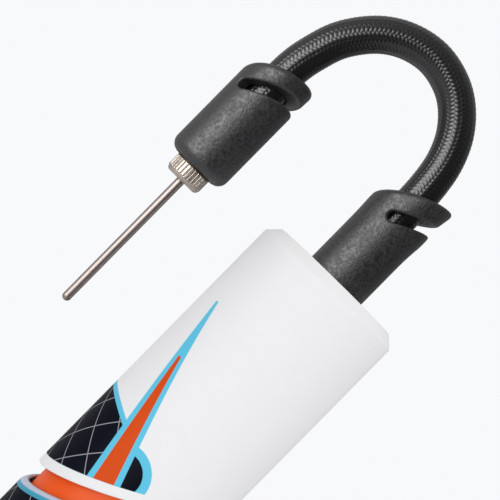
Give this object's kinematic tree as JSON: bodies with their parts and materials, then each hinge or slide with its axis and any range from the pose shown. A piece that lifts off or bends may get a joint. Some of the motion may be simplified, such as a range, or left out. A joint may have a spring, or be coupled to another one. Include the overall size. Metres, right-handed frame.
{
  "type": "ball inflation pump",
  "caption": "Slim two-handed ball pump: a piston inside telescoping tubes, with a short braided hose that ends in a screw-in inflation needle.",
  "frame": {"origin": "centre of the handle's flat foot, on the surface that the pump stands on", "axes": "+Z along the pump's axis from the foot to the hose end; the hose arches over towards -X; -Y is the side that the slanted rims are seen from"},
  "size_m": [0.063, 0.036, 0.2517],
  "materials": {
    "printed_navy": "satin printed film",
    "blue_plastic": "satin",
    "white_plastic": "satin",
    "orange_plastic": "satin",
    "dark_nylon": "moulded",
    "natural_acetal": "moulded",
    "seal_rubber": "smooth",
    "sleeve_rubber": "fine spark grain",
    "hose_braid": "tight braid",
    "rod_aluminium": "drawn",
    "crimp_aluminium": "crimped",
    "zinc_steel": "zinc plated",
    "spring_steel": "drawn wire",
    "needle_steel": "polished",
    "plated_nickel": "nickel plate",
    "brass": "turned"
  },
  "bodies": {
    "handle": {"handle_tube": "printed_navy", "rim_ring": "blue_plastic", "guide_bush": "dark_nylon", "base_cap": "white_plastic", "base_screw": "zinc_steel", "bumper_ring": "seal_rubber", "piston_rod": "rod_aluminium", "piston": "natural_acetal", "piston_screw": "zinc_steel"},
    "seal": {"piston_seal": "seal_rubber"},
    "barrel": {"outer_shell": "white_plastic", "barrel_tube": "orange_plastic", "rod_bush": "natural_acetal", "barrel_head": "natural_acetal", "head_seal": "seal_rubber", "valve_retainer": "brass", "valve_spring": "spring_steel"},
    "check_valve": {"valve_ball": "seal_rubber"},
    "hose": {"pump_fitting": "brass", "fitting_seal": "seal_rubber", "pump_sleeve": "sleeve_rubber", "crimp_rings": "crimp_aluminium", "braided_hose": "hose_braid", "end_sleeve": "sleeve_rubber", "needle_socket": "plated_nickel", "needle_seal": "seal_rubber"},
    "needle": {"needle_hub": "plated_nickel", "needle_tube": "needle_steel"}
  },
  "joints": [
    {"name": "pump_stroke", "type": "slide", "parent": "handle", "child": "barrel", "axis": [0, 0, 1], "range_m": [0, 0.09]},
    {"name": "seal_float", "type": "slide", "parent": "handle", "child": "seal", "axis": [0, 0, 1], "range_m": [0, 0.0008]},
    {"name": "valve_lift", "type": "slide", "parent": "barrel", "child": "check_valve", "axis": [0, 0, 1], "range_m": [0, 0.0015], "stiffness_N_per_m": 60, "springref_m": -0.002, "deforming": ["valve_spring"]},
    {"name": "hose_turn", "type": "hinge", "parent": "barrel", "child": "hose", "pos_m": [0, 0, 0.193], "axis": [0, 0, 1], "continuous": true},
    {"name": "needle_turn", "type": "hinge", "parent": "hose", "child": "needle", "pos_m": [-0.0378, 0, 0.19], "axis": [0, 0, 1], "continuous": true}
  ]
}
